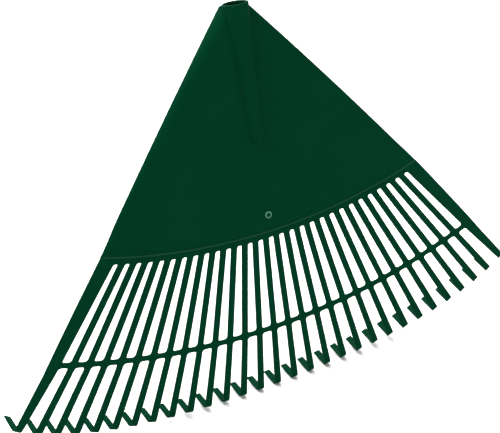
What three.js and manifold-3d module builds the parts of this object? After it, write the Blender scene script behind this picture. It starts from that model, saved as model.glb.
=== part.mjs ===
// Leaf rake head: a one-piece plastic fan rake with a round handle socket, a flat triangular panel,
// turned-back side flanges and thirty spring tines tied by one curved cross band.
//
// Millimetres, +Z up. The origin is the centre of the socket mouth and +Z is the handle's axis, pointing
// out of the mouth. The outer face looks along -Y, and the tine hooks point along +Y.
//
// The fan is drawn in a plane of its own, in which all tines point away from one point, the apex. That
// plane leans back from the panel at the crease, and the free tine ends lean back once more.

import * as THREE from 'three';
import { mergeVertices } from 'three/addons/utils/BufferGeometryUtils.js';
import Module from 'manifold-3d';

const wasm = await Module();
wasm.setup();

const degree = Math.PI / 180;
const clearance = 0.3;            // air gap between neighbouring pieces
const wall = 3;                   // wall of the moulding: panel, bars and tines
const material = new THREE.MeshStandardMaterial({ color: 0x003820, roughness: 0.45, metalness: 0 });

// Handle socket
const mouthRadius = 16.5;         // outside of the tube at the mouth
const tailRadius = 11;            // outside of the tube where its ball end begins
const tailDepth = 170;            // mouth to the centre of the ball end
const boreMouthRadius = 12.9;     // the bore tapers like the end of a 25 mm handle
const boreSeatRadius = 9.6;
const seatDepth = 150;            // mouth to the flat seat at the bottom of the bore
const mouthChamfer = 0.8;

// Panel and flanges
const apexDrop = 4;               // the fan's apex lies this far below the mouth
const panelFront = -4;            // the socket's axis runs 4 mm behind the panel's front face
const creaseDrop = 290;           // apex to the crease, along the panel
const edgeAtApex = 18.1;          // half width of the head level with the apex
const edgeSpread = 0.8435;        // growth of the half width with distance below the apex
const edgeBow = 1.44e-4;          // the side edges bow outwards a little
const flangeWall = 2.6;
const flangeTop = 2;              // height of the flanges' upper ends above the apex
const flangeDepthAtTop = 16.5;
const flangeFade = 330;           // apex to where the flanges would be no deeper than the wall
const flangeCurve = 1.6;          // the flanges get shallower quickly at first, then slowly
const foldRoundTop = 14;          // the panel's edge rolls back into the flange over this width
const foldRoundLoss = 0.03;       // the roll narrows by this much per millimetre below the apex
const seam = 2;                   // flat strip that belongs to a flange, next to the panel
const ringRadius = 5.2;           // moulding gate ring on the panel
const ringHole = 2.8;
const ringHeight = 0.7;
const ringDrop = 273;             // apex to the ring

// Fan of tines
const fanLean = 4.7 * degree;     // the fan plane leans back from the panel
const endLean = 2.6 * degree;     // the free tine ends lean back again
const tineCount = 30;
const tineWidth = 8.6;
const arcCentreRise = 436.6;      // common centre of the slot, ridge and band arcs, above the apex
const slotTopArc = 742;
const slotFootArc = 876.8;
const webHeight = 7.2;            // cross band between an upper slot and the gap below it
const stubLength = 6;             // the band carries a short stub of each tine
const tinePitch = 15.26;          // tine spacing along the arc through the slot tops
const ridgeArc = 732.5;
const ridgeWidth = 2.4;
const ridgeHeight = 1.2;
const slotTopRound = 2.9;
const slotFootRound = 4.2;

// Tine ends
const tipArc = 1822;              // the tips follow a flatter arc than the band
const tipArcCentreRise = 1277.5;
const tipDrop = 38;               // the outermost tines end this much short of the tip arc
const tineTipWidth = 9.6;         // the tines widen towards the bend
const hookReach = 38;             // tine face to hook point
const hookTurn = 88 * degree;
const hookInnerRadius = 6;
const hookPointWall = 2.2;
const hookSplay = 0.213;          // hooks splay outwards in step with the tine's own angle
const edgeTineOuterTip = 7.5;     // outer and inner sides of the edge tines at the tip, from the tine's
const edgeTineInnerTip = -2;      // centre line: these two tines splay outwards
const hingeRelief = 0.45;         // a tine end's top is ridged by this much, so it can swing at the stub

const mouthArcSteps = 40;
const cornerSteps = 3;
const bendSteps = 7;
const ridgeSteps = 56;
const edgeSteps = 10;
const foldSteps = 4;

const halfTines = (tineCount - 1) / 2;
const edgeSlant = Math.cos(Math.atan(edgeSpread));
const bandFootArc = slotFootArc + webHeight;
const stubArc = bandFootArc + stubLength;

// ---- Solids ----------------------------------------------------------------------------------------

function toSolid(geometry) {
  const bare = geometry.clone();
  bare.deleteAttribute('normal');
  bare.deleteAttribute('uv');
  const merged = mergeVertices(bare, 1e-4);
  const vertProperties = new Float32Array(merged.attributes.position.array);
  const triVerts = new Uint32Array(merged.index.array);
  return new wasm.Manifold(new wasm.Mesh({ numProp: 3, vertProperties, triVerts }));
}

function toGeometry(solid) {
  const mesh = solid.getMesh();
  const geometry = new THREE.BufferGeometry();
  geometry.setAttribute('position', new THREE.BufferAttribute(new Float32Array(mesh.vertProperties), 3));
  geometry.setIndex(new THREE.BufferAttribute(new Uint32Array(mesh.triVerts), 1));
  geometry.computeVertexNormals();
  return geometry;
}

// A plate drawn front-on: shape x is X, shape y is Z, and its thickness runs from yFront back to yBack.
function plate(shape, yFront, yBack, curveSegments = cornerSteps) {
  const geometry = new THREE.ExtrudeGeometry(shape, {
    depth: yBack - yFront, bevelEnabled: false, curveSegments,
  });
  const axes = [new THREE.Vector3(1, 0, 0), new THREE.Vector3(0, 0, 1), new THREE.Vector3(0, -1, 0)];
  geometry.applyMatrix4(new THREE.Matrix4().makeBasis(...axes));
  geometry.translate(0, yBack, 0);
  return geometry;
}

// A solid drawn side-on: shape x is Y, shape y is Z, and its width runs from xLeft to xRight.
function sideProfile(shape, xLeft, xRight) {
  const geometry = new THREE.ExtrudeGeometry(shape, { depth: xRight - xLeft, bevelEnabled: false });
  const axes = [new THREE.Vector3(0, 1, 0), new THREE.Vector3(0, 0, 1), new THREE.Vector3(1, 0, 0)];
  geometry.applyMatrix4(new THREE.Matrix4().makeBasis(...axes));
  geometry.translate(xLeft, 0, 0);
  return geometry;
}

function named(name, geometry) {
  const mesh = new THREE.Mesh(geometry, material);
  mesh.name = name;
  return mesh;
}

// ---- Fan geometry, in the fan's own plane with the apex at (0, 0) ------------------------------------

// Angle of the line at a given number of pitches from the middle. Lines are evenly spaced along the arc
// through the slot tops and all pass through the apex.
function fanAngle(index) {
  const turn = index * tinePitch / slotTopArc;
  return Math.atan2(slotTopArc * Math.sin(turn), slotTopArc * Math.cos(turn) - arcCentreRise);
}

// Distance from a line's foot to an arc: the line starts sideOffset to the right of the apex.
function reachToArc(angle, sideOffset, arcRadius, centreRise = arcCentreRise) {
  const along = -centreRise * Math.cos(angle);
  const across = centreRise * Math.sin(angle) - sideOffset;
  return along + Math.sqrt(arcRadius ** 2 - across ** 2);
}

function fanPoint(angle, sideOffset, reach) {
  const x = Math.sin(angle) * reach + Math.cos(angle) * sideOffset;
  const y = -Math.cos(angle) * reach + Math.sin(angle) * sideOffset;
  return new THREE.Vector2(x, y);
}

function pointOnArc(angle, sideOffset, arcRadius) {
  return fanPoint(angle, sideOffset, reachToArc(angle, sideOffset, arcRadius));
}

function edgeHalfWidth(drop) {
  return edgeAtApex + edgeSpread * drop - edgeBow * drop * drop;
}

function foldRound(drop) {
  return foldRoundTop - foldRoundLoss * drop;
}

// Half width at which the flat panel ends and a flange piece begins.
function seamHalfWidth(drop) {
  return edgeHalfWidth(drop) - (foldRound(drop) + seam) / edgeSlant;
}

function flangeDepth(drop) {
  return wall + (flangeDepthAtTop - wall) * Math.min(1, 1 - drop / flangeFade) ** flangeCurve;
}

// Closed outline whose corners are rounded, each by its own radius.
function roundedOutline(corners, radii) {
  const shape = new THREE.Shape();
  corners.forEach((corner, i) => {
    const before = corners[(i + corners.length - 1) % corners.length];
    const after = corners[(i + 1) % corners.length];
    const start = before.clone().sub(corner).setLength(radii[i]).add(corner);
    const end = after.clone().sub(corner).setLength(radii[i]).add(corner);
    if (i === 0) shape.moveTo(start.x, start.y);
    else shape.lineTo(start.x, start.y);
    shape.quadraticCurveTo(corner.x, corner.y, end.x, end.y);
  });
  return shape;
}

// Gap between two neighbouring tines, from one arc to another.
function gapCutter(slotIndex, topArc, footArc, topRound, footRound) {
  const left = fanAngle(slotIndex - 0.5);
  const right = fanAngle(slotIndex + 0.5);
  const side = tineWidth / 2;
  const corners = [
    pointOnArc(left, side, topArc), pointOnArc(left, side, footArc),
    pointOnArc(right, -side, footArc), pointOnArc(right, -side, topArc),
  ];
  const outline = roundedOutline(corners, [topRound, footRound, footRound, topRound]);
  return toSolid(plate(outline, -wall, 2 * wall));
}

// Everything inside an arc about the common centre, as a thick plate.
function insideArc(arcRadius, yFront, yBack) {
  const shape = new THREE.Shape();
  const halfSweep = 26 * degree;
  shape.moveTo(0, arcCentreRise);
  for (let i = 0; i <= ridgeSteps; i += 1) {
    const turn = -halfSweep + 2 * halfSweep * i / ridgeSteps;
    shape.lineTo(arcRadius * Math.sin(turn), arcCentreRise - arcRadius * Math.cos(turn));
  }
  shape.closePath();
  return toSolid(plate(shape, yFront, yBack));
}

// Outline that is symmetrical about the middle, between two distances below the apex.
function headOutline(topDrop, footDrop, halfWidth) {
  const shape = new THREE.Shape();
  for (let i = 0; i <= edgeSteps; i += 1) {
    const drop = topDrop + (footDrop - topDrop) * i / edgeSteps;
    if (i === 0) shape.moveTo(-halfWidth(drop), -drop);
    else shape.lineTo(-halfWidth(drop), -drop);
  }
  for (let i = edgeSteps; i >= 0; i -= 1) {
    const drop = topDrop + (footDrop - topDrop) * i / edgeSteps;
    shape.lineTo(halfWidth(drop), -drop);
  }
  shape.closePath();
  return shape;
}

// ---- Handle socket -----------------------------------------------------------------------------------

function socketOutline(grow) {
  const points = [];
  for (let i = 0; i <= 6; i += 1) {
    const turn = i / 6 * Math.PI / 2;
    const radius = tailRadius + grow;
    points.push(new THREE.Vector2(radius * Math.sin(turn), -tailDepth - radius * Math.cos(turn)));
  }
  return points;
}

function handleSocket() {
  const profile = [
    ...socketOutline(0),
    new THREE.Vector2(mouthRadius, -mouthChamfer),
    new THREE.Vector2(mouthRadius - mouthChamfer, 0),
    new THREE.Vector2(boreMouthRadius + mouthChamfer, 0),
    new THREE.Vector2(boreMouthRadius, -mouthChamfer),
    new THREE.Vector2(boreSeatRadius, -seatDepth),
    new THREE.Vector2(0, -seatDepth),
  ];
  profile[0].x = 0;
  const geometry = new THREE.LatheGeometry(profile, mouthArcSteps);
  geometry.rotateX(Math.PI / 2);
  return geometry;
}

// The socket's outside, grown by the clearance, to cut its seat in the panel and flanges.
function socketCutter() {
  const profile = [
    ...socketOutline(clearance),
    new THREE.Vector2(mouthRadius + clearance, 0),
    new THREE.Vector2(mouthRadius + clearance, 20),
    new THREE.Vector2(0, 20),
  ];
  profile[0].x = 0;
  const geometry = new THREE.LatheGeometry(profile, mouthArcSteps);
  geometry.rotateX(Math.PI / 2);
  return toSolid(geometry);
}

// ---- Panel, flanges, ridge and ring --------------------------------------------------------------------

const panelGap = 2.1;             // ridge centre line to the panel's lower edge: clears the leaning ridge
const panelTop = 22;              // apex to where the flanges part and the panel begins

function fanPanel() {
  const outline = headOutline(panelTop, creaseDrop + 6, (drop) => seamHalfWidth(drop) - clearance);
  const sheet = toSolid(plate(outline, panelFront, panelFront + wall));
  const above = insideArc(ridgeArc - panelGap, -60, 60);
  const level = sheet.intersect(above).translate([0, 0, -apexDrop]);
  return toGeometry(level.subtract(socketCutter()));
}

// Half section of a flange, from the seam round the roll to the flange's back edge: pairs of distance in
// from the head's edge, and depth behind the panel's front face.
function foldLine(drop, edge, roundWidth, front, rollDepth, back) {
  const line = [[foldRound(drop) + seam, front]];
  for (let i = 0; i <= foldSteps; i += 1) {
    const turn = i / foldSteps * Math.PI / 2;
    line.push([edge + roundWidth * (1 - Math.sin(turn)), front + rollDepth * (1 - Math.cos(turn))]);
  }
  line.push([edge, back]);
  return line;
}

function flangeSection(drop, side) {
  const width = foldRound(drop);
  const depth = flangeDepth(drop);
  const roll = Math.min(width, 0.75 * depth);
  const outer = foldLine(drop, 0, width, 0, roll, depth);
  const innerRoll = Math.min(roll - 0.5, depth - wall - 0.1);
  const inner = foldLine(drop, flangeWall, width - flangeWall, wall, innerRoll, depth);
  return [...outer, ...inner.reverse()].map(([inward, back]) => [
    side * (edgeHalfWidth(drop) - inward / edgeSlant), panelFront + back, -apexDrop - drop,
  ]);
}

// Skin through sections that all have the same number of points; each end is closed by a strip.
function loft(sections) {
  const count = sections[0].length;
  const index = [];
  const quad = (a, b, c, d) => index.push(a, b, c, a, c, d);
  for (let i = 0; i + 1 < sections.length; i += 1) {
    for (let j = 0; j < count; j += 1) {
      const next = (j + 1) % count;
      quad(i * count + j, i * count + next, (i + 1) * count + next, (i + 1) * count + j);
    }
  }
  const last = (sections.length - 1) * count;
  for (let j = 0; j + 1 < count / 2; j += 1) {
    quad(count - 1 - j, count - 2 - j, j + 1, j);
    quad(last + j, last + j + 1, last + count - 2 - j, last + count - 1 - j);
  }
  const geometry = new THREE.BufferGeometry();
  geometry.setAttribute('position', new THREE.Float32BufferAttribute(sections.flat(2), 3));
  geometry.setIndex(index);
  return geometry;
}

// side is -1 for the left flange and +1 for the right one.
function sideFlange(side) {
  const sections = [];
  for (let i = 0; i <= edgeSteps; i += 1) {
    const share = side < 0 ? i / edgeSteps : 1 - i / edgeSteps;
    sections.push(flangeSection(-flangeTop + (creaseDrop + flangeTop) * share, side));
  }
  const above = insideArc(ridgeArc - panelGap, -60, 60).translate([0, 0, -apexDrop]);
  return toGeometry(toSolid(loft(sections)).intersect(above).subtract(socketCutter()));
}

function arcRidge() {
  const bar = insideArc(ridgeArc + ridgeWidth / 2, -ridgeHeight, wall);
  const hollow = insideArc(ridgeArc - ridgeWidth / 2, -2 * wall, 2 * wall);
  const between = toSolid(plate(headOutline(100, 400, edgeHalfWidth), -2 * wall, 2 * wall));
  return toGeometry(bar.subtract(hollow).intersect(between));
}

function gateRing() {
  const inner = ringHole;
  const profile = [
    new THREE.Vector2(inner, 0),
    new THREE.Vector2(ringRadius, 0),
    new THREE.Vector2(ringRadius - ringHeight / 2, ringHeight),
    new THREE.Vector2(inner + ringHeight / 2, ringHeight),
    new THREE.Vector2(inner, 0),
  ];
  return new THREE.LatheGeometry(profile, 24);
}

// ---- Tine grille: upper bars and the cross band --------------------------------------------------------

function tineGrille() {
  const head = toSolid(plate(headOutline(200, 470, edgeHalfWidth), 0, wall));
  const upTo = insideArc(stubArc, -2 * wall, 2 * wall);
  const abovePiece = insideArc(ridgeArc + ridgeWidth / 2 + clearance, -2 * wall, 2 * wall);
  let solid = head.intersect(upTo).subtract(abovePiece);
  for (let slot = -halfTines + 0.5; slot < halfTines; slot += 1) {
    solid = solid.subtract(gapCutter(slot, slotTopArc, slotFootArc, slotTopRound, slotFootRound));
    solid = solid.subtract(gapCutter(slot, bandFootArc, stubArc + 15, slotFootRound, 0.5));
  }
  return toGeometry(solid);
}

// ---- Tine ends -----------------------------------------------------------------------------------------

// Side view of a tine end: y is depth, with the front face at 0, and z runs down from the stub.
function tineEndProfile(length) {
  const outer = hookInnerRadius + wall;
  const bendStart = length - outer;
  const shape = new THREE.Shape();
  const bendPoint = (radius, turn) => [outer - radius * Math.cos(turn), -bendStart - radius * Math.sin(turn)];
  const run = (hookReach - outer * (1 - Math.cos(hookTurn))) / Math.sin(hookTurn);
  const along = new THREE.Vector2(Math.sin(hookTurn), -Math.cos(hookTurn));
  const hookEnd = (radius) => {
    const [y, z] = bendPoint(radius, hookTurn);
    return [y + along.x * run, z + along.y * run];
  };
  shape.moveTo(wall / 2, 0);
  shape.lineTo(0, -hingeRelief);
  for (let i = 0; i <= bendSteps; i += 1) shape.lineTo(...bendPoint(outer, hookTurn * i / bendSteps));
  shape.lineTo(...hookEnd(outer));
  shape.lineTo(...hookEnd(outer - hookPointWall));
  for (let i = bendSteps; i >= 0; i -= 1) {
    shape.lineTo(...bendPoint(hookInnerRadius, hookTurn * i / bendSteps));
  }
  shape.lineTo(wall, -hingeRelief);
  shape.closePath();
  return shape;
}

// index counts pitches from the middle, so it runs from -14.5 to 14.5.
function tineEndPlace(index) {
  const angle = fanAngle(index);
  const reach = reachToArc(angle, 0, stubArc) + clearance;
  const shortening = tipDrop * (Math.abs(index) / halfTines) ** 4;
  const length = reachToArc(angle, 0, tipArc, tipArcCentreRise) - shortening - reach;
  const foot = fanPoint(angle, 0, reach);
  const skew = Math.tan(Math.atan2(foot.x, arcCentreRise - foot.y) - angle);
  return { angle, reach, length, skew };
}

function tineEndGeometry(index) {
  const { angle, reach, length, skew } = tineEndPlace(index);
  const geometry = sideProfile(tineEndProfile(length), -1, 1);
  const outward = Math.sign(index);
  const isEdge = Math.abs(index) === halfTines;
  const foot = fanPoint(angle, 0, reach);
  const edgeTineTop = (edgeHalfWidth(-foot.y) - Math.abs(foot.x)) * Math.cos(angle);
  const position = geometry.attributes.position;
  for (let i = 0; i < position.count; i += 1) {
    const side = position.getX(i);
    const y = position.getY(i);
    let z = position.getZ(i);
    const down = Math.min(1, Math.max(0, -z / length));
    let halfWidth = (tineWidth + (tineTipWidth - tineWidth) * down) / 2;
    if (isEdge && side * outward > 0) halfWidth = edgeTineTop + (edgeTineOuterTip - edgeTineTop) * down;
    if (isEdge && side * outward < 0) halfWidth = tineWidth / 2 + (-edgeTineInnerTip - tineWidth / 2) * down;
    const x = side * halfWidth;
    if (z > -2 * hingeRelief) z += x * skew;
    position.setXYZ(i, x + hookSplay * angle * Math.max(0, y - wall), y, z);
  }
  return geometry;
}

// ---- Assembly --------------------------------------------------------------------------------------------

const rakeHead = new THREE.Group();
rakeHead.add(named('handle_socket', handleSocket()));
rakeHead.add(named('fan_panel', fanPanel()));
rakeHead.add(named('left_flange', sideFlange(-1)));
rakeHead.add(named('right_flange', sideFlange(1)));

const ring = named('gate_ring', gateRing());
ring.rotation.x = Math.PI;
ring.position.set(0, panelFront - clearance, -apexDrop - ringDrop);
rakeHead.add(ring);

// The fan plane turns about the crease, which lies in the panel's front face.
const fan = new THREE.Group();
fan.rotation.x = fanLean;
const creaseZ = -apexDrop - creaseDrop;
fan.position.set(0, panelFront - creaseDrop * Math.sin(fanLean), creaseZ + creaseDrop * Math.cos(fanLean));
fan.add(named('arc_ridge', arcRidge()));
fan.add(named('tine_grille', tineGrille()));
rakeHead.add(fan);

for (let number = 1; number <= tineCount; number += 1) {
  const index = number - 1 - halfTines;
  const { angle, reach } = tineEndPlace(index);
  const spoke = new THREE.Group();
  spoke.rotation.y = -angle;
  const end = named(`tine_end_${String(number).padStart(2, '0')}`, tineEndGeometry(index));
  end.position.z = -reach;
  end.rotation.x = endLean;
  spoke.add(end);
  fan.add(spoke);
}

export default rakeHead;
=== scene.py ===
# Looks of the leaf rake head: one dark green plastic moulding, shown as a detailed piece for each CAD node.
# Lengths are millimetres up to the point where a mesh is made; Blender objects are in metres.

import math

import bpy
from mathutils import Matrix, Vector, geometry


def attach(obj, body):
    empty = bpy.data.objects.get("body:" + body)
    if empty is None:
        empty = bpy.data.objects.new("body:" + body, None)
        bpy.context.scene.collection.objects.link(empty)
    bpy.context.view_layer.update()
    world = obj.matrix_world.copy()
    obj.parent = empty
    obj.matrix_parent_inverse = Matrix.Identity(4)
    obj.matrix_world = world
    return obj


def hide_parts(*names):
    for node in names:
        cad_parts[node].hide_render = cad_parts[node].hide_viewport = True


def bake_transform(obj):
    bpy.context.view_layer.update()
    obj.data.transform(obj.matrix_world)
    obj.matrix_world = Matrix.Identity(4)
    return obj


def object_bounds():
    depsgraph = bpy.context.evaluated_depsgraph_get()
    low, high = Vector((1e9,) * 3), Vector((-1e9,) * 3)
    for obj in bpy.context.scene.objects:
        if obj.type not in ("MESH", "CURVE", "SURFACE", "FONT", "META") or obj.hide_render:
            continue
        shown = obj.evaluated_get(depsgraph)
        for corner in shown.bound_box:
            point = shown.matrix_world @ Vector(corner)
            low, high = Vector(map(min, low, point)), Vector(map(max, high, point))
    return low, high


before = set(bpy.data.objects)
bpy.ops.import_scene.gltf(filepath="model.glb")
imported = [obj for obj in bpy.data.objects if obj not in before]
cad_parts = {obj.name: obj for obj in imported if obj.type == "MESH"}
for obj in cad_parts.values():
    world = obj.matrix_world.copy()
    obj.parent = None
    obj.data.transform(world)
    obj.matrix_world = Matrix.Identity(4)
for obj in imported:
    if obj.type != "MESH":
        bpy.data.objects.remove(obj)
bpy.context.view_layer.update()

MM = 0.001

# ---- Driving dimensions: the CAD design's, apart from the ring's hole and height ------------------------

WALL = 3.0
MOUTH_RADIUS = 16.5
TAIL_RADIUS = 11.0
TAIL_DEPTH = 170.0
BORE_MOUTH_RADIUS = 12.9
BORE_SEAT_RADIUS = 9.6
SEAT_DEPTH = 150.0

APEX_DROP = 4.0
PANEL_FRONT = -4.0
CREASE_DROP = 290.0
EDGE_AT_APEX = 18.1
EDGE_SPREAD = 0.8435
EDGE_BOW = 1.44e-4
FLANGE_WALL = 2.6
FLANGE_TOP = 2.0
FLANGE_DEPTH = 16.5
FLANGE_FADE = 330.0
FLANGE_CURVE = 1.6
FOLD_ROUND_TOP = 14.0         # the side flanges roll into the panel: width of the roll at the apex,
FOLD_ROUND_LOSS = 0.03        # and how much narrower it gets per millimetre below the apex
SEAM = 2.0                    # flat strip of panel that belongs to a flange piece
PANEL_TOP = 22.0              # apex to where the flanges part and the panel begins
RING_RADIUS = 5.2
RING_HOLE = 2.5
RING_HEIGHT = 0.8
RING_DROP = 273.0

FAN_LEAN = math.radians(4.7)
END_LEAN = math.radians(2.6)
TINE_COUNT = 30
TINE_WIDTH = 8.6
TINE_TIP_WIDTH = 9.6
ARC_CENTRE_RISE = 436.6
SLOT_TOP_ARC = 742.0
SLOT_FOOT_ARC = 876.8
WEB_HEIGHT = 7.2
STUB_LENGTH = 6.0
TINE_PITCH = 15.26
RIDGE_ARC = 732.5
RIDGE_WIDTH = 2.4
RIDGE_HEIGHT = 1.2
SLOT_TOP_ROUND = 2.9
SLOT_FOOT_ROUND = 4.2

TIP_ARC = 1822.0
TIP_ARC_CENTRE_RISE = 1277.5
TIP_DROP = 38.0
HOOK_REACH = 38.0
HOOK_TURN = math.radians(88)
HOOK_INNER_RADIUS = 6.0
HOOK_POINT_WALL = 2.2
HOOK_SPLAY = 0.213
EDGE_TINE_OUTER_TIP = 7.5
EDGE_TINE_INNER_TIP = -2.0

# ---- Finer shape that only the looks need ------------------------------------------------------------

SOCKET_FILLET = 4.0
EDGE_ROUND = 0.7
BACK_ROUND = 0.9
MOUTH_LIP = 1.1
SEAT_ROUND = 1.0
SOCKET_OVERLAP = 1.2          # panel and flanges start this far inside the tube's outer surface
RIDGE_GAP = 0.4               # the panel's foot stops this short of the ridge's middle
FLARE = 45.0                  # the panel flares to meet the leaning fan over this distance from the ridge
LEAN_LENGTH = 14.0            # and takes up its own lean over this length
SHARP_ANGLE = math.radians(35)

# ---- Mesh fineness -----------------------------------------------------------------------------------

ROUND_STEPS = 3
FOLD_STEPS = 10
FILLET_STEPS = 6
CORNER_STEPS = 6
SOCKET_STEPS = 96
PANEL_COLUMNS = 12
PANEL_ROWS = 34
SIDE_TURNS = 10
FOOT_TURNS = 26
RIDGE_STEPS = 96
RING_STEPS = 48
EDGE_STEPS = 12
BAND_STEPS = 60
STRAIGHT_STEPS = 14
BEND_STEPS = 10
HOOK_STEPS = 8
SEARCH_STEPS = 50

HALF_TINES = (TINE_COUNT - 1) / 2
BAND_FOOT_ARC = SLOT_FOOT_ARC + WEB_HEIGHT
STUB_ARC = BAND_FOOT_ARC + STUB_LENGTH
EDGE_SLANT = math.cos(math.atan(EDGE_SPREAD))


# ---- Mesh helpers --------------------------------------------------------------------------------------

def make_piece(name, points, faces, body, nodes):
    """A closed mesh from points in millimetres, standing for CAD nodes and riding on a body if given."""
    mesh = bpy.data.meshes.new(name)
    mesh.from_pydata([Vector(p) * MM for p in points], [], faces)
    mesh.validate()
    mesh.update()
    piece = bpy.data.objects.new(name, mesh)
    bpy.context.scene.collection.objects.link(piece)
    mesh.polygons.foreach_set("use_smooth", [True] * len(mesh.polygons))
    mesh.set_sharp_from_angle(angle=SHARP_ANGLE)
    weighted = piece.modifiers.new("weighted_normals", "WEIGHTED_NORMAL")
    weighted.keep_sharp = True
    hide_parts(*nodes)
    if body:
        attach(piece, body)
    return piece


def loft(rings):
    """Points and faces of a closed skin through rings that all have the same number of points."""
    count = len(rings[0])
    points = [p for ring in rings for p in ring]
    faces = []
    for i in range(len(rings) - 1):
        for j in range(count):
            k = (j + 1) % count
            faces.append((i * count + j, i * count + k, (i + 1) * count + k, (i + 1) * count + j))
    last = (len(rings) - 1) * count
    faces.append(tuple(reversed(range(count))))
    faces.append(tuple(range(last, last + count)))
    return points, faces


def arc_points(centre, radius, start, end, steps):
    """Points on an arc in a plane, from one angle to another, both ends included."""
    out = []
    for i in range(steps + 1):
        a = start + (end - start) * i / steps
        out.append((centre[0] + radius * math.cos(a), centre[1] + radius * math.sin(a)))
    return out


def smooth_step(t):
    t = min(1.0, max(0.0, t))
    return t * t * (3 - 2 * t)


# ---- Fan geometry: the fan's own plane, apex at (0, 0) -----------------------------------------------------

def fan_angle(index):
    turn = index * TINE_PITCH / SLOT_TOP_ARC
    return math.atan2(SLOT_TOP_ARC * math.sin(turn), SLOT_TOP_ARC * math.cos(turn) - ARC_CENTRE_RISE)


def reach_to_arc(angle, side_offset, arc_radius, centre_rise=ARC_CENTRE_RISE):
    along = -centre_rise * math.cos(angle)
    across = centre_rise * math.sin(angle) - side_offset
    return along + math.sqrt(arc_radius ** 2 - across ** 2)


def fan_point(angle, side_offset, reach):
    x = math.sin(angle) * reach + math.cos(angle) * side_offset
    z = -math.cos(angle) * reach + math.sin(angle) * side_offset
    return Vector((x, z))


def point_on_arc(angle, side_offset, arc_radius):
    return fan_point(angle, side_offset, reach_to_arc(angle, side_offset, arc_radius))


FAN_ORIGIN = Vector((0, PANEL_FRONT - CREASE_DROP * math.sin(FAN_LEAN),
                     -APEX_DROP - CREASE_DROP + CREASE_DROP * math.cos(FAN_LEAN)))
FAN_TO_ROW = Matrix.Translation(FAN_ORIGIN) @ Matrix.Rotation(FAN_LEAN, 4, "X")


def edge_half_width(drop):
    return EDGE_AT_APEX + EDGE_SPREAD * drop - EDGE_BOW * drop * drop


# ---- Handle socket -------------------------------------------------------------------------------------

def socket_radius(z):
    """Outside radius of the socket tube at a height, and of its ball end below that."""
    if z >= -TAIL_DEPTH:
        return MOUTH_RADIUS + (TAIL_RADIUS - MOUTH_RADIUS) * (-z / TAIL_DEPTH)
    return TAIL_RADIUS


def make_socket():
    lip = MOUTH_LIP
    profile = [(0.0, -TAIL_DEPTH - TAIL_RADIUS)]
    profile += arc_points((0, -TAIL_DEPTH), TAIL_RADIUS, -math.pi / 2, 0, 10)[1:]
    for i in range(1, 12):
        z = -TAIL_DEPTH + (TAIL_DEPTH - lip) * i / 12
        profile.append((socket_radius(z), z))
    profile += arc_points((MOUTH_RADIUS - lip, -lip), lip, 0, math.pi / 2, 4)
    profile += arc_points((BORE_MOUTH_RADIUS + lip, -lip), lip, math.pi / 2, math.pi, 4)
    for i in range(1, 7):
        share = i / 7
        profile.append((BORE_MOUTH_RADIUS + (BORE_SEAT_RADIUS - BORE_MOUTH_RADIUS) * share,
                        -lip - (SEAT_DEPTH - lip - SEAT_ROUND) * share))
    seat_corner = (BORE_SEAT_RADIUS - SEAT_ROUND, -SEAT_DEPTH + SEAT_ROUND)
    profile += arc_points(seat_corner, SEAT_ROUND, 0, -math.pi / 2, 3)
    profile.append((0.0, -SEAT_DEPTH))
    points = []
    faces = []
    inner = profile[1:-1]
    count = len(inner)
    for i in range(SOCKET_STEPS):
        turn = 2 * math.pi * i / SOCKET_STEPS
        points += [(r * math.cos(turn), r * math.sin(turn), z) for r, z in inner]
    pole = len(points)
    points += [(0, 0, profile[0][1]), (0, 0, profile[-1][1])]
    for i in range(SOCKET_STEPS):
        a = i * count
        b = (i + 1) % SOCKET_STEPS * count
        for j in range(count - 1):
            faces.append((a + j, b + j, b + j + 1, a + j + 1))
        faces.append((pole, b, a))
        faces.append((pole + 1, a + count - 1, b + count - 1))
    return make_piece("handle_socket_moulding", points, faces, "rake_head", ["handle_socket"])


# ---- Side flanges ----------------------------------------------------------------------------------------

def flange_depth(drop):
    share = min(1.0, max(0.0, 1 - drop / FLANGE_FADE))
    return WALL + (FLANGE_DEPTH - WALL) * share ** FLANGE_CURVE


def fold_round(drop):
    """Width of the roll between panel and flange."""
    return FOLD_ROUND_TOP - FOLD_ROUND_LOSS * drop


def seam_x(drop):
    return edge_half_width(drop) - (fold_round(drop) + SEAM) / EDGE_SLANT


def front_y(x, drop):
    """Depth of the panel's front face. It flares to meet the leaning fan along the ridge."""
    from_arc = RIDGE_ARC - math.hypot(x, drop + ARC_CENTRE_RISE)
    near = 1 - smooth_step(from_arc / FLARE)
    return PANEL_FRONT - near * (CREASE_DROP - drop) * math.tan(FAN_LEAN)


def arc_drop_at(x, radius):
    return math.sqrt(radius ** 2 - x * x) - ARC_CENTRE_RISE


def drop_where(curve_x, radius):
    """Distance below the apex at which a curve x(drop) meets an arc."""
    low, high = 150.0, 480.0
    for _ in range(SEARCH_STEPS):
        middle = (low + high) / 2
        if arc_drop_at(min(radius, curve_x(middle)), radius) > middle:
            low = middle
        else:
            high = middle
    return low


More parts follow.
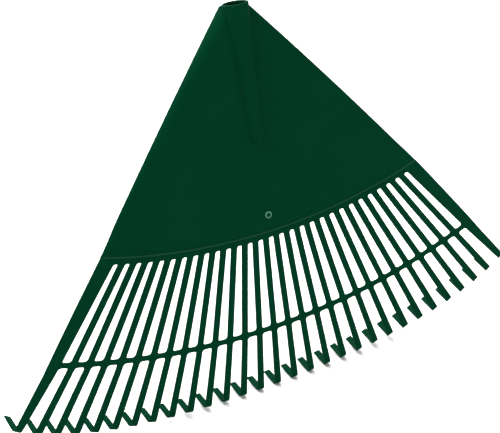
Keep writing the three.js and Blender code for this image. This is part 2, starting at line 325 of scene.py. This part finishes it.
def flange_section(drop, side):
    """Closed section of a flange: front roll, outer wall, rounded back edge, inner wall, inner roll."""
    width = fold_round(drop)
    depth = flange_depth(drop)
    roll = min(width, 0.75 * depth)
    wall = FLANGE_WALL
    outer = [(width + SEAM, 0.0)]
    for i in range(FOLD_STEPS + 1):
        turn = i / FOLD_STEPS * math.pi / 2
        outer.append((width * (1 - math.sin(turn)), roll * (1 - math.cos(turn))))
    back = max(depth, roll + 1.2)
    outer.append((0.0, (roll + back - BACK_ROUND) / 2))
    outer += [(BACK_ROUND - q, back - BACK_ROUND + y) for q, y in
              arc_points((0, 0), BACK_ROUND, 0, math.pi / 2, ROUND_STEPS)]
    inner = [(wall - BACK_ROUND + q, back - BACK_ROUND + y) for q, y in
             arc_points((0, 0), BACK_ROUND, math.pi / 2, 0, ROUND_STEPS)]
    inner_top = min(WALL + roll - 0.5, back - BACK_ROUND - 0.1)
    inner.append((wall, (inner_top + back - BACK_ROUND) / 2))
    for i in range(FOLD_STEPS, -1, -1):
        turn = i / FOLD_STEPS * math.pi / 2
        inner.append((wall + (width - wall) * (1 - math.sin(turn)),
                      WALL + (inner_top - WALL) * (1 - math.cos(turn))))
    inner.append((width + SEAM, WALL))
    outer = leave_socket(outer, drop)
    inner = list(reversed(leave_socket(list(reversed(inner)), drop)))
    z = -APEX_DROP - drop
    ring = []
    for q, y in outer + inner:
        x = edge_half_width(drop) - q / EDGE_SLANT
        ring.append((side * x, front_y(x, drop) + y, z))
    return ring


def leave_socket(line, drop):
    """Starts a line of a flange's section inside the socket's wall where it would cross the bore."""
    hidden = socket_radius(-APEX_DROP - drop) - SOCKET_OVERLAP
    half = edge_half_width(drop)

    def distance(point):
        return math.hypot(half - point[0] / EDGE_SLANT, PANEL_FRONT + point[1])

    start = 0
    for i in range(len(line) - 1):
        if distance(line[i]) < hidden <= distance(line[i + 1]):
            start = i
            break
    else:
        return line
    a, b = line[start], line[start + 1]
    share = (hidden - distance(a)) / (distance(b) - distance(a))
    crossing = (a[0] + (b[0] - a[0]) * share, a[1] + (b[1] - a[1]) * share)
    kept = [crossing] + line[start + 1:]
    return respaced(kept, len(line))


def respaced(line, count):
    """The same line with evenly spaced points."""
    lengths = [0.0]
    for a, b in zip(line, line[1:]):
        lengths.append(lengths[-1] + math.dist(a, b))
    out = []
    for i in range(count):
        target = lengths[-1] * i / (count - 1)
        k = max(j for j in range(len(lengths) - 1) if lengths[j] <= target + 1e-9)
        share = (target - lengths[k]) / max(1e-9, lengths[k + 1] - lengths[k])
        a, b = line[k], line[k + 1]
        out.append((a[0] + (b[0] - a[0]) * share, a[1] + (b[1] - a[1]) * share))
    return out


def make_flange(side, name, node):
    end = drop_where(edge_half_width, RIDGE_ARC) + 1.0
    drops = [-FLANGE_TOP + 2.0 * i for i in range(16)]
    drops += [drops[-1] + (end - drops[-1]) * i / 30 for i in range(1, 31)]
    points, faces = loft([flange_section(drop, side) for drop in drops])
    if side > 0:
        faces = [tuple(reversed(face)) for face in faces]
    return make_piece(name, points, faces, "rake_head", [node])


# ---- Fan panel ---------------------------------------------------------------------------------------------

def panel_section(tube_radius, seam, front_at):
    """Section of the panel outwards from the socket: (distance from the socket's axis, depth) pairs.

    front_at(distance) gives the front face's depth there."""
    front_level = -PANEL_FRONT
    back_level = PANEL_FRONT + WALL
    reach = tube_radius ** 2 - front_level ** 2
    limit = math.sqrt(reach) + 0.8 * max(0.3, seam - math.sqrt(reach))
    fillet = min(SOCKET_FILLET, (limit ** 2 - reach) / (2 * (tube_radius - front_level)))
    foot = math.sqrt((tube_radius + fillet) ** 2 - (front_level + fillet) ** 2)
    turn = math.atan2(front_level + fillet, foot)
    buried = tube_radius - SOCKET_OVERLAP
    front = [(buried * math.cos(turn), -buried * math.sin(turn))]
    for q, y in arc_points((foot, front_level + fillet), fillet, math.pi + turn, 1.5 * math.pi, FILLET_STEPS):
        front.append((q, -y))
    for i in range(1, PANEL_COLUMNS + 1):
        front.append((foot + (seam - foot) * i / PANEL_COLUMNS, PANEL_FRONT))
    back_foot = math.sqrt((tube_radius + fillet) ** 2 - (back_level + fillet) ** 2)
    back_turn = math.atan2(back_level + fillet, back_foot)
    back = []
    for i in range(PANEL_COLUMNS, 0, -1):
        back.append((back_foot + (seam - back_foot) * i / PANEL_COLUMNS, back_level))
    back += arc_points((back_foot, back_level + fillet), fillet, -math.pi / 2,
                       -math.pi + back_turn, FILLET_STEPS)
    back.append((buried * math.cos(back_turn), buried * math.sin(back_turn)))
    return [(q, y + front_at(q) - PANEL_FRONT) for q, y in front + back]


def make_panel():
    edge_arc = RIDGE_ARC - RIDGE_GAP
    ball_drop = TAIL_DEPTH - APEX_DROP
    corner_drop = drop_where(seam_x, edge_arc)
    half = []
    for i in range(PANEL_ROWS + 1):
        drop = PANEL_TOP + (ball_drop - PANEL_TOP) * i / PANEL_ROWS
        section = panel_section(socket_radius(-APEX_DROP - drop), seam_x(drop),
                                lambda q, drop=drop: front_y(q, drop))
        half.append([(q, y, -APEX_DROP - drop) for q, y in section])
    corner_turn = math.atan2(corner_drop - ball_drop, seam_x(corner_drop))
    turns = [corner_turn * i / SIDE_TURNS for i in range(1, SIDE_TURNS + 1)]
    turns += [corner_turn + (math.pi / 2 - corner_turn) * i / FOOT_TURNS for i in range(1, FOOT_TURNS + 1)]
    for turn in turns:
        reach = reach_from_ball(turn, ball_drop, corner_turn, edge_arc)
        out = math.cos(turn)
        down = math.sin(turn)
        section = panel_section(TAIL_RADIUS, reach,
                                lambda q, out=out, down=down: front_y(q * out, ball_drop + q * down))
        half.append([(q * out, y, -APEX_DROP - ball_drop - q * down) for q, y in section])
    mirrored = [[(-x, y, z) for x, y, z in ring] for ring in reversed(half[:-1])]
    points, faces = loft(half + mirrored)
    return make_piece("fan_panel_moulding", points, faces, "rake_head", ["fan_panel"])


def reach_from_ball(turn, ball_drop, corner_turn, edge_arc):
    """Distance from the ball end's centre to the panel's boundary, in a direction below horizontal."""
    low, high = 20.0, 400.0
    for _ in range(SEARCH_STEPS):
        middle = (low + high) / 2
        x = middle * math.cos(turn)
        drop = ball_drop + middle * math.sin(turn)
        if turn <= corner_turn:
            inside = x < seam_x(drop)
        else:
            inside = math.hypot(x, drop + ARC_CENTRE_RISE) < edge_arc
        if inside:
            low = middle
        else:
            high = middle
    return low


# ---- Ridge and ring --------------------------------------------------------------------------------------

def make_ridge():
    """The ridge stops short of the head's edges and gets lower towards its ends."""
    short_by = 3.0
    sunk = 1.5
    end_drop = drop_where(lambda drop: edge_half_width(drop) - short_by, RIDGE_ARC)
    half_sweep = math.asin((edge_half_width(end_drop) - short_by) / RIDGE_ARC)
    rings = []
    for i in range(RIDGE_STEPS + 1):
        turn = -half_sweep + 2 * half_sweep * i / RIDGE_STEPS
        fade = min(1.0, 0.25 + 8 * min(i, RIDGE_STEPS - i) / RIDGE_STEPS)
        ring = []
        for across, out in arc_points((0, 0), 1.0, 0, math.pi, 8):
            radius = RIDGE_ARC + RIDGE_WIDTH / 2 * across
            ring.append((radius, -RIDGE_HEIGHT * out * fade))
        ring.append((RIDGE_ARC - RIDGE_WIDTH / 2, sunk))
        ring.append((RIDGE_ARC + RIDGE_WIDTH / 2, sunk))
        rings.append([FAN_TO_ROW @ Vector((r * math.sin(turn), y, ARC_CENTRE_RISE - r * math.cos(turn)))
                      for r, y in ring])
    points, faces = loft(rings)
    return make_piece("arc_ridge_moulding", points, faces, "rake_head", ["arc_ridge"])


def make_ring():
    """A low round bead, turned about the ring's own axis and sunk a little into the panel."""
    sunk = 0.3
    middle = (RING_RADIUS + RING_HOLE) / 2
    band = (RING_RADIUS - RING_HOLE) / 2
    profile = [(middle + band * a, -RING_HEIGHT * b) for a, b in arc_points((0, 0), 1.0, 0, math.pi, 10)]
    profile += [(middle - band, sunk), (middle + band, sunk)]
    count = len(profile)
    points = []
    faces = []
    for i in range(RING_STEPS):
        turn = 2 * math.pi * i / RING_STEPS
        for r, y in profile:
            points.append((r * math.cos(turn), PANEL_FRONT + y, -APEX_DROP - RING_DROP + r * math.sin(turn)))
        a = i * count
        b = (i + 1) % RING_STEPS * count
        for j in range(count):
            k = (j + 1) % count
            faces.append((a + j, b + j, b + k, a + k))
    return make_piece("gate_ring_moulding", points, faces, "rake_head", ["gate_ring"])


# ---- Tine grille -------------------------------------------------------------------------------------------

def rounded_outline(corners, radii):
    """Outline whose corners are rounded, each by its own radius, as points."""
    out = []
    count = len(corners)
    for i, corner in enumerate(corners):
        before = corners[i - 1]
        after = corners[(i + 1) % count]
        start = corner + (before - corner).normalized() * radii[i]
        end = corner + (after - corner).normalized() * radii[i]
        if radii[i] == 0:
            out.append(corner)
            continue
        for k in range(CORNER_STEPS + 1):
            t = k / CORNER_STEPS
            out.append(start * (1 - t) ** 2 + corner * 2 * t * (1 - t) + end * t ** 2)
    return out


def gap_outline(slot_index, top_arc, foot_arc, radii):
    """Gap between two neighbouring tines, from one arc to another."""
    left = fan_angle(slot_index - 0.5)
    right = fan_angle(slot_index + 0.5)
    side = TINE_WIDTH / 2
    corners = [point_on_arc(left, side, top_arc), point_on_arc(left, side, foot_arc),
               point_on_arc(right, -side, foot_arc), point_on_arc(right, -side, top_arc)]
    return rounded_outline(corners, radii)


def grille_outline():
    """Outer outline of the grille, counter-clockwise: down the left edge, along the stubs, up, and back."""
    top_drop = drop_where(edge_half_width, RIDGE_ARC)
    foot_drop = drop_where(edge_half_width, STUB_ARC)
    drops = [top_drop + (foot_drop - top_drop) * i / EDGE_STEPS for i in range(EDGE_STEPS + 1)]
    out = [Vector((-edge_half_width(drop), -drop)) for drop in drops]
    for slot in range(TINE_COUNT - 1):
        out += lower_gap(slot - HALF_TINES + 0.5)
    out += [Vector((edge_half_width(drop), -drop)) for drop in reversed(drops)]
    sweep = math.asin(edge_half_width(top_drop) / RIDGE_ARC)
    for i in range(1, BAND_STEPS):
        turn = sweep - 2 * sweep * i / BAND_STEPS
        out.append(Vector((RIDGE_ARC * math.sin(turn), ARC_CENTRE_RISE - RIDGE_ARC * math.cos(turn))))
    return out


def lower_gap(slot_index):
    """The part of the outline that runs up between two stubs, along the band and down again."""
    return gap_outline(slot_index, STUB_ARC, BAND_FOOT_ARC, [0, SLOT_FOOT_ROUND, SLOT_FOOT_ROUND, 0])


def offset_loop(loop, distance):
    """The loop moved to its left by a distance, which is into the material for these loops."""
    out = []
    count = len(loop)
    for i, p in enumerate(loop):
        a = (p - loop[i - 1]).normalized()
        b = (loop[(i + 1) % count] - p).normalized()
        normal_a = Vector((-a.y, a.x))
        normal_b = Vector((-b.y, b.x))
        miter = normal_a + normal_b
        scale = distance / max(0.4, miter.dot(normal_a))
        out.append(p + miter * scale)
    return out


def rounded_plate(loops, thickness, radius):
    """Points and faces of a flat plate with holes whose edges are all rounded. First loop is the outline."""
    levels = []
    for k in range(ROUND_STEPS + 1):
        turn = math.pi / 2 * k / ROUND_STEPS
        levels.append((radius * (1 - math.sin(turn)), radius * (1 - math.cos(turn))))
    levels += [(inset, thickness - depth) for inset, depth in reversed(levels)]
    points = []
    faces = []
    starts = []
    for loop in loops:
        base = len(points)
        starts.append(base)
        for inset, depth in levels:
            points += [(p.x, depth, p.y) for p in offset_loop(loop, inset)]
        count = len(loop)
        for level in range(len(levels) - 1):
            for j in range(count):
                k = (j + 1) % count
                a, b = base + level * count, base + (level + 1) * count
                faces.append((a + j, a + k, b + k, b + j))
    for level, flip in ((0, False), (len(levels) - 1, True)):
        lines = []
        index = []
        for base, loop in zip(starts, loops):
            first = base + level * len(loop)
            index += range(first, first + len(loop))
            lines.append([Vector((points[first + j][0], points[first + j][2], 0)) for j in range(len(loop))])
        for triangle in geometry.tessellate_polygon(lines):
            a, b, c = (Vector((points[index[t]][0], points[index[t]][2])) for t in triangle)
            turn_left = (b - a).cross(c - a) > 0
            corners = [index[t] for t in triangle]
            if turn_left == flip:
                corners.reverse()
            faces.append(tuple(corners))
    return points, faces


def make_grille():
    loops = [grille_outline()]
    for slot in range(TINE_COUNT - 1):
        radii = [SLOT_TOP_ROUND, SLOT_FOOT_ROUND, SLOT_FOOT_ROUND, SLOT_TOP_ROUND]
        hole = gap_outline(slot - HALF_TINES + 0.5, SLOT_TOP_ARC, SLOT_FOOT_ARC, radii)
        loops.append(list(reversed(hole)))
    points, faces = rounded_plate(loops, WALL, EDGE_ROUND)
    points = [FAN_TO_ROW @ Vector(p) for p in points]
    return make_piece("tine_grille_moulding", points, faces, "rake_head", ["tine_grille"])


# ---- Tine ends ---------------------------------------------------------------------------------------------

def tine_ring(left, right, thickness):
    """Rounded rectangle in (x, depth) with the front face at depth 0."""
    radius = min(EDGE_ROUND, thickness / 2.2)
    ring = []
    for cx, cy, start in ((right - radius, radius, -math.pi / 2), (right - radius, thickness - radius, 0),
                          (left + radius, thickness - radius, math.pi / 2), (left + radius, radius, math.pi)):
        ring += arc_points((cx, cy), radius, start, start + math.pi / 2, ROUND_STEPS)
    return ring


def tine_end_path(length):
    """Stations down the front face: (depth, z, direction angle, thickness)."""
    outer = HOOK_INNER_RADIUS + WALL
    bend_start = length - outer
    stations = []
    for i in range(STRAIGHT_STEPS):
        stations.append((0.0, -bend_start * i / STRAIGHT_STEPS, 0.0, WALL))
    for i in range(BEND_STEPS + 1):
        turn = HOOK_TURN * i / BEND_STEPS
        stations.append((outer - outer * math.cos(turn), -bend_start - outer * math.sin(turn), turn, WALL))
    run = (HOOK_REACH - outer * (1 - math.cos(HOOK_TURN))) / math.sin(HOOK_TURN)
    y, z = stations[-1][0], stations[-1][1]
    for i in range(1, HOOK_STEPS + 1):
        step = run * i / HOOK_STEPS
        thickness = WALL + (HOOK_POINT_WALL - WALL) * i / HOOK_STEPS
        stations.append((y + math.sin(HOOK_TURN) * step, z - math.cos(HOOK_TURN) * step,
                         HOOK_TURN, thickness))
    return stations


def make_tine_end(number):
    index = number - 1 - HALF_TINES
    angle = fan_angle(index)
    reach = reach_to_arc(angle, 0, STUB_ARC)
    shortening = TIP_DROP * (abs(index) / HALF_TINES) ** 4
    length = reach_to_arc(angle, 0, TIP_ARC, TIP_ARC_CENTRE_RISE) - shortening - reach
    foot = fan_point(angle, 0, reach)
    skew = math.tan(math.atan2(foot.x, ARC_CENTRE_RISE - foot.y) - angle)
    outward = math.copysign(1, index)
    is_edge = abs(index) == HALF_TINES
    outer_top = (edge_half_width(-foot.y) - abs(foot.x)) * math.cos(angle)
    place = FAN_TO_ROW @ Matrix.Rotation(-angle, 4, "Y") @ Matrix.Translation((0, 0, -reach))
    stations = tine_end_path(length)
    rings = []
    for order, (y0, z0, turn, thickness) in enumerate(stations):
        share = min(1.0, -z0 / length)
        half = (TINE_WIDTH + (TINE_TIP_WIDTH - TINE_WIDTH) * share) / 2
        left, right = -half, half
        if is_edge:
            outer_side = outer_top + (EDGE_TINE_OUTER_TIP - outer_top) * share
            inner_side = -TINE_WIDTH / 2 + (EDGE_TINE_INNER_TIP + TINE_WIDTH / 2) * share
            left, right = (inner_side, outer_side) if outward > 0 else (-outer_side, -inner_side)
        ring = []
        for x, depth in tine_ring(left, right, thickness):
            y = y0 + depth * math.cos(turn)
            z = z0 + depth * math.sin(turn)
            if order == 0:
                z += x * skew
            lean = END_LEAN * smooth_step(-z / LEAN_LENGTH)
            y, z = y * math.cos(lean) - z * math.sin(lean), y * math.sin(lean) + z * math.cos(lean)
            x += HOOK_SPLAY * angle * max(0.0, y0 + depth * math.cos(turn) - WALL)
            ring.append(place @ Vector((x, y, z)))
        rings.append(ring)
    centre = sum((Vector(p) for p in rings[-1]), Vector()) / len(rings[-1])
    onward = (centre - sum((Vector(p) for p in rings[-2]), Vector()) / len(rings[-2])).normalized()
    for inset, step in ((0.12, 0.35), (0.44, 0.6)):
        rings.append([p + (centre - p).normalized() * inset + onward * step for p in rings[-1]])
    points, faces = loft(rings)
    name = f"tine_end_{number:02d}"
    piece = make_piece(name + "_moulding", points, faces, None, [name])
    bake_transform(piece)
    return piece


# ---- Materials -------------------------------------------------------------------------------------------

def plastic_material(name, base, deep, roughness, specular):
    """Moulded polypropylene: a faintly clouded colour, a fine grain and soft flow marks."""
    material = bpy.data.materials.new(name)
    material.use_nodes = True
    nodes = material.node_tree.nodes
    links = material.node_tree.links
    shader = nodes["Principled BSDF"]
    shader.inputs["Specular IOR Level"].default_value = specular
    shader.inputs["IOR"].default_value = 1.49
    coordinates = nodes.new("ShaderNodeTexCoord")

    cloud = nodes.new("ShaderNodeTexNoise")
    cloud.inputs["Scale"].default_value = 14
    cloud.inputs["Detail"].default_value = 4
    links.new(coordinates.outputs["Object"], cloud.inputs["Vector"])
    ramp = nodes.new("ShaderNodeValToRGB")
    ramp.color_ramp.elements[0].position = 0.3
    ramp.color_ramp.elements[0].color = (*deep, 1)
    ramp.color_ramp.elements[1].position = 0.7
    ramp.color_ramp.elements[1].color = (*base, 1)
    links.new(cloud.outputs["Fac"], ramp.inputs["Fac"])
    links.new(ramp.outputs["Color"], shader.inputs["Base Color"])

    flow = nodes.new("ShaderNodeTexNoise")
    flow.inputs["Scale"].default_value = 60
    flow.inputs["Detail"].default_value = 3
    links.new(coordinates.outputs["Object"], flow.inputs["Vector"])
    shine = nodes.new("ShaderNodeMapRange")
    shine.inputs["To Min"].default_value = roughness - 0.06
    shine.inputs["To Max"].default_value = roughness + 0.06
    links.new(flow.outputs["Fac"], shine.inputs["Value"])
    links.new(shine.outputs["Result"], shader.inputs["Roughness"])

    grain = nodes.new("ShaderNodeTexNoise")
    grain.inputs["Scale"].default_value = 2200
    grain.inputs["Detail"].default_value = 2
    links.new(coordinates.outputs["Object"], grain.inputs["Vector"])
    bump = nodes.new("ShaderNodeBump")
    bump.inputs["Strength"].default_value = 0.12
    bump.inputs["Distance"].default_value = 0.0002
    links.new(grain.outputs["Fac"], bump.inputs["Height"])
    links.new(bump.outputs["Normal"], shader.inputs["Normal"])
    return material


def floor_material():
    material = bpy.data.materials.new("pale_floor")
    material.use_nodes = True
    nodes = material.node_tree.nodes
    shader = nodes["Principled BSDF"]
    shader.inputs["Roughness"].default_value = 0.9
    shader.inputs["Specular IOR Level"].default_value = 0.1
    speckle = nodes.new("ShaderNodeTexNoise")
    speckle.inputs["Scale"].default_value = 3
    ramp = nodes.new("ShaderNodeValToRGB")
    ramp.color_ramp.elements[0].color = (0.86, 0.86, 0.86, 1)
    ramp.color_ramp.elements[1].color = (0.88, 0.88, 0.88, 1)
    material.node_tree.links.new(speckle.outputs["Fac"], ramp.inputs["Fac"])
    material.node_tree.links.new(ramp.outputs["Color"], shader.inputs["Base Color"])
    return material


# ---- Stage, lights and camera ----------------------------------------------------------------------------

def make_floor():
    """A wide floor just under the object's lowest point, set back so that most of it lies behind."""
    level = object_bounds()[0][2] - 0.002
    size = 12.0
    set_back = 3.0
    mesh = bpy.data.meshes.new("floor")
    steps = 8
    points = []
    for i in range(steps + 1):
        for j in range(steps + 1):
            points.append((size * (i / steps - 0.5), size * (j / steps - 0.5) + set_back, level))
    faces = []
    for i in range(steps):
        for j in range(steps):
            a = i * (steps + 1) + j
            faces.append((a, a + steps + 1, a + steps + 2, a + 1))
    mesh.from_pydata(points, [], faces)
    floor = bpy.data.objects.new("floor", mesh)
    bpy.context.scene.collection.objects.link(floor)
    mesh.materials.append(floor_material())


def make_light(name, position, target, size, power):
    data = bpy.data.lights.new(name, "AREA")
    data.shape = "DISK"
    data.size = size
    data.energy = power
    light = bpy.data.objects.new(name, data)
    light.location = position
    light.rotation_euler = (Vector(target) - Vector(position)).to_track_quat("-Z", "Y").to_euler()
    bpy.context.scene.collection.objects.link(light)


def make_world(front, behind):
    """Soft surroundings that are darker in front of the rake's face than behind it."""
    world = bpy.data.worlds.new("studio")
    world.use_nodes = True
    nodes = world.node_tree.nodes
    links = world.node_tree.links
    coordinates = nodes.new("ShaderNodeTexCoord")
    split = nodes.new("ShaderNodeSeparateXYZ")
    links.new(coordinates.outputs["Generated"], split.inputs["Vector"])
    fade = nodes.new("ShaderNodeMapRange")
    fade.inputs["From Min"].default_value = -0.5
    fade.inputs["From Max"].default_value = 0.4
    fade.inputs["To Min"].default_value = front
    fade.inputs["To Max"].default_value = behind
    links.new(split.outputs["Y"], fade.inputs["Value"])
    nodes["Background"].inputs["Color"].default_value = (1, 1, 1, 1)
    links.new(fade.outputs["Result"], nodes["Background"].inputs["Strength"])
    bpy.context.scene.world = world


def make_camera():
    """The camera stands to the left of the panel's face, looks down at it, and is turned a little."""
    position = Vector((-0.4490, -1.0985, 0.2129))
    heading = math.radians(21.14)
    pitch = math.radians(-22.43)
    roll = math.radians(-9.11)
    data = bpy.data.cameras.new("camera")
    data.lens = 70.74
    data.sensor_width = 36
    data.clip_end = 50
    camera = bpy.data.objects.new("camera", data)
    level = Matrix.Rotation(-heading, 4, "Z") @ Matrix.Rotation(math.pi / 2 + pitch, 4, "X")
    camera.matrix_world = Matrix.Translation(position) @ level @ Matrix.Rotation(roll, 4, "Z")
    bpy.context.scene.collection.objects.link(camera)
    bpy.context.scene.camera = camera


# ---- Build -------------------------------------------------------------------------------------------------

make_camera()
make_world(0.12, 0.5)
make_light("key", (1.4, -2.2, 0.4), (0, 0, -0.25), 1.2, 34)
make_light("overhead", (-1.3, -0.1, 2.8), (0, 0, -0.5), 3.0, 200)
make_light("sweep", (0.3, 3.2, 2.6), (0, 0.9, -0.5), 3.0, 260)

green = plastic_material("green_plastic", (0.0003, 0.0285, 0.0118), (0.0002, 0.0262, 0.0107), 0.55, 0.006)
blushed = plastic_material("blushed_plastic", (0.07, 0.19, 0.125), (0.06, 0.17, 0.115), 0.5, 0.1)
# The ridge's plastic is painted lighter than the green: a painted highlight for the light from above catching
# the ridge's top.
ridge_highlight = plastic_material("ridge_highlight_plastic", (0.004, 0.042, 0.0185), (0.003, 0.038, 0.0165), 0.6, 0.05)

pieces = [make_socket(), make_panel(), make_grille()]
pieces.append(make_flange(-1, "left_flange_moulding", "left_flange"))
pieces.append(make_flange(1, "right_flange_moulding", "right_flange"))
for tine_number in range(1, TINE_COUNT + 1):
    pieces.append(make_tine_end(tine_number))
for piece in pieces:
    piece.data.materials.append(green)
make_ring().data.materials.append(blushed)
make_ridge().data.materials.append(ridge_highlight)
make_floor()

bpy.context.scene.view_settings.view_transform = "Standard"
